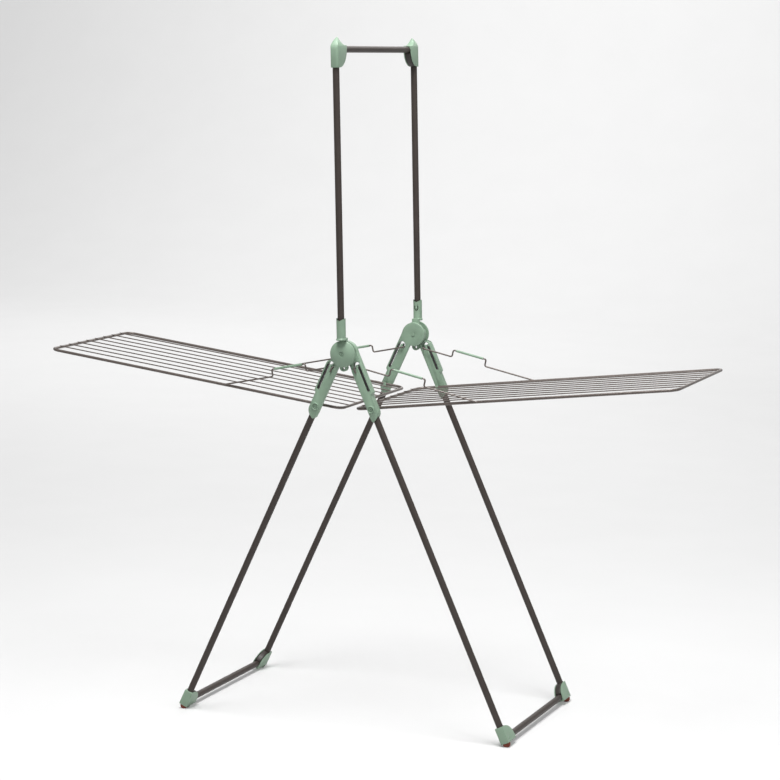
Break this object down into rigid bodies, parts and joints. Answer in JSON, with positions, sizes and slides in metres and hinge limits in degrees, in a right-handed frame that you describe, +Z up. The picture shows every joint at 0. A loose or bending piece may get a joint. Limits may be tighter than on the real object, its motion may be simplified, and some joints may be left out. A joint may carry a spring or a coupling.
{
  "type": "clothes drying rack",
  "caption": "Folding clothes drying rack: crossed leg frames, fold-out wire drying wings held up by stays, and a raised rail for hangers",
  "frame": {"origin": "on the floor under the middle of the rack", "axes": "+X to the right wing, +Y along the hub axis to the far side, +Z up"},
  "size_m": [1.841, 0.586, 1.8778],
  "materials": {
    "green_plastic": "satin",
    "dark_plastic": "satin",
    "rubber": "matte",
    "painted_tube": "satin",
    "coated_wire": "satin",
    "steel": "satin"
  },
  "bodies": {
    "left_frame": {"left_near_leg": "painted_tube", "left_near_bracket": "green_plastic", "left_near_wing_rivet": "steel", "left_near_foot_cap": "green_plastic", "left_near_foot_elbow": "dark_plastic", "left_near_foot_pad": "rubber", "left_far_leg": "painted_tube", "left_far_bracket": "green_plastic", "left_far_wing_rivet": "steel", "left_far_foot_cap": "green_plastic", "left_far_foot_elbow": "dark_plastic", "left_far_foot_pad": "rubber", "left_floor_bar": "painted_tube", "near_hub_pin": "steel", "far_hub_pin": "steel"},
    "right_frame": {"right_near_leg": "painted_tube", "right_near_bracket": "green_plastic", "right_near_wing_rivet": "steel", "right_near_foot_cap": "green_plastic", "right_near_foot_elbow": "dark_plastic", "right_near_foot_pad": "rubber", "right_far_leg": "painted_tube", "right_far_bracket": "green_plastic", "right_far_wing_rivet": "steel", "right_far_foot_cap": "green_plastic", "right_far_foot_elbow": "dark_plastic", "right_far_foot_pad": "rubber", "right_floor_bar": "painted_tube"},
    "hanging_rail": {"near_post_holder": "green_plastic", "near_post": "painted_tube", "near_top_cap": "green_plastic", "near_top_elbow": "dark_plastic", "far_post_holder": "green_plastic", "far_post": "painted_tube", "far_top_cap": "green_plastic", "far_top_elbow": "dark_plastic", "crossbar": "painted_tube"},
    "left_wing_body": {"left_wing": "coated_wire"},
    "right_wing_body": {"right_wing": "coated_wire"},
    "left_near_stay_body": {"left_near_stay": "coated_wire", "left_near_stay_sleeve": "green_plastic"},
    "left_far_stay_body": {"left_far_stay": "coated_wire", "left_far_stay_sleeve": "green_plastic"},
    "right_near_stay_body": {"right_near_stay": "coated_wire", "right_near_stay_sleeve": "green_plastic"},
    "right_far_stay_body": {"right_far_stay": "coated_wire", "right_far_stay_sleeve": "green_plastic"},
    "near_button_body": {"near_snap_button": "green_plastic"},
    "far_button_body": {"far_snap_button": "green_plastic"}
  },
  "joints": [
    {"name": "leg_fold", "type": "hinge", "parent": "left_frame", "child": "right_frame", "pos_m": [0, 0, 1.03424], "axis": [0, 1, 0], "range_deg": [0, 43.5]},
    {"name": "rail_turn", "type": "hinge", "parent": "left_frame", "child": "hanging_rail", "pos_m": [0, 0, 1.03424], "axis": [0, 1, 0], "range_deg": [0, 21.75]},
    {"name": "left_wing_fold", "type": "hinge", "parent": "left_frame", "child": "left_wing_body", "pos_m": [-0.07932, 0, 0.88719], "axis": [0, -1, 0], "range_deg": [0, 72.5]},
    {"name": "right_wing_fold", "type": "hinge", "parent": "right_frame", "child": "right_wing_body", "pos_m": [0.07932, 0, 0.88719], "axis": [0, 1, 0], "range_deg": [0, 72.5]},
    {"name": "left_near_stay_turn", "type": "hinge", "parent": "left_wing_body", "child": "left_near_stay_body", "pos_m": [-0.37311, 0, 0.92327], "axis": [0, 1, 0], "range_deg": [0, 16.75]},
    {"name": "left_far_stay_turn", "type": "hinge", "parent": "left_wing_body", "child": "left_far_stay_body", "pos_m": [-0.37311, 0, 0.92327], "axis": [0, 1, 0], "range_deg": [0, 16.75]},
    {"name": "right_near_stay_turn", "type": "hinge", "parent": "right_wing_body", "child": "right_near_stay_body", "pos_m": [0.37311, 0, 0.92327], "axis": [0, -1, 0], "range_deg": [0, 16.75]},
    {"name": "right_far_stay_turn", "type": "hinge", "parent": "right_wing_body", "child": "right_far_stay_body", "pos_m": [0.37311, 0, 0.92327], "axis": [0, -1, 0], "range_deg": [0, 16.75]},
    {"name": "near_button_press", "type": "slide", "parent": "hanging_rail", "child": "near_button_body", "axis": [0, -1, 0], "range_m": [0, 0.003], "stiffness_N_per_m": 800},
    {"name": "far_button_press", "type": "slide", "parent": "hanging_rail", "child": "far_button_body", "axis": [0, 1, 0], "range_m": [0, 0.003], "stiffness_N_per_m": 800}
  ],
  "couplings": [
    {"joint": "rail_turn", "follows": "leg_fold", "ratio": 0.5},
    {"joint": "left_wing_fold", "follows": "leg_fold", "ratio": 1.6667},
    {"joint": "right_wing_fold", "follows": "leg_fold", "ratio": 1.6667},
    {"joint": "left_near_stay_turn", "follows": "leg_fold", "ratio": 0.38494},
    {"joint": "left_far_stay_turn", "follows": "leg_fold", "ratio": 0.38494},
    {"joint": "right_near_stay_turn", "follows": "leg_fold", "ratio": 0.38494},
    {"joint": "right_far_stay_turn", "follows": "leg_fold", "ratio": 0.38494}
  ]
}
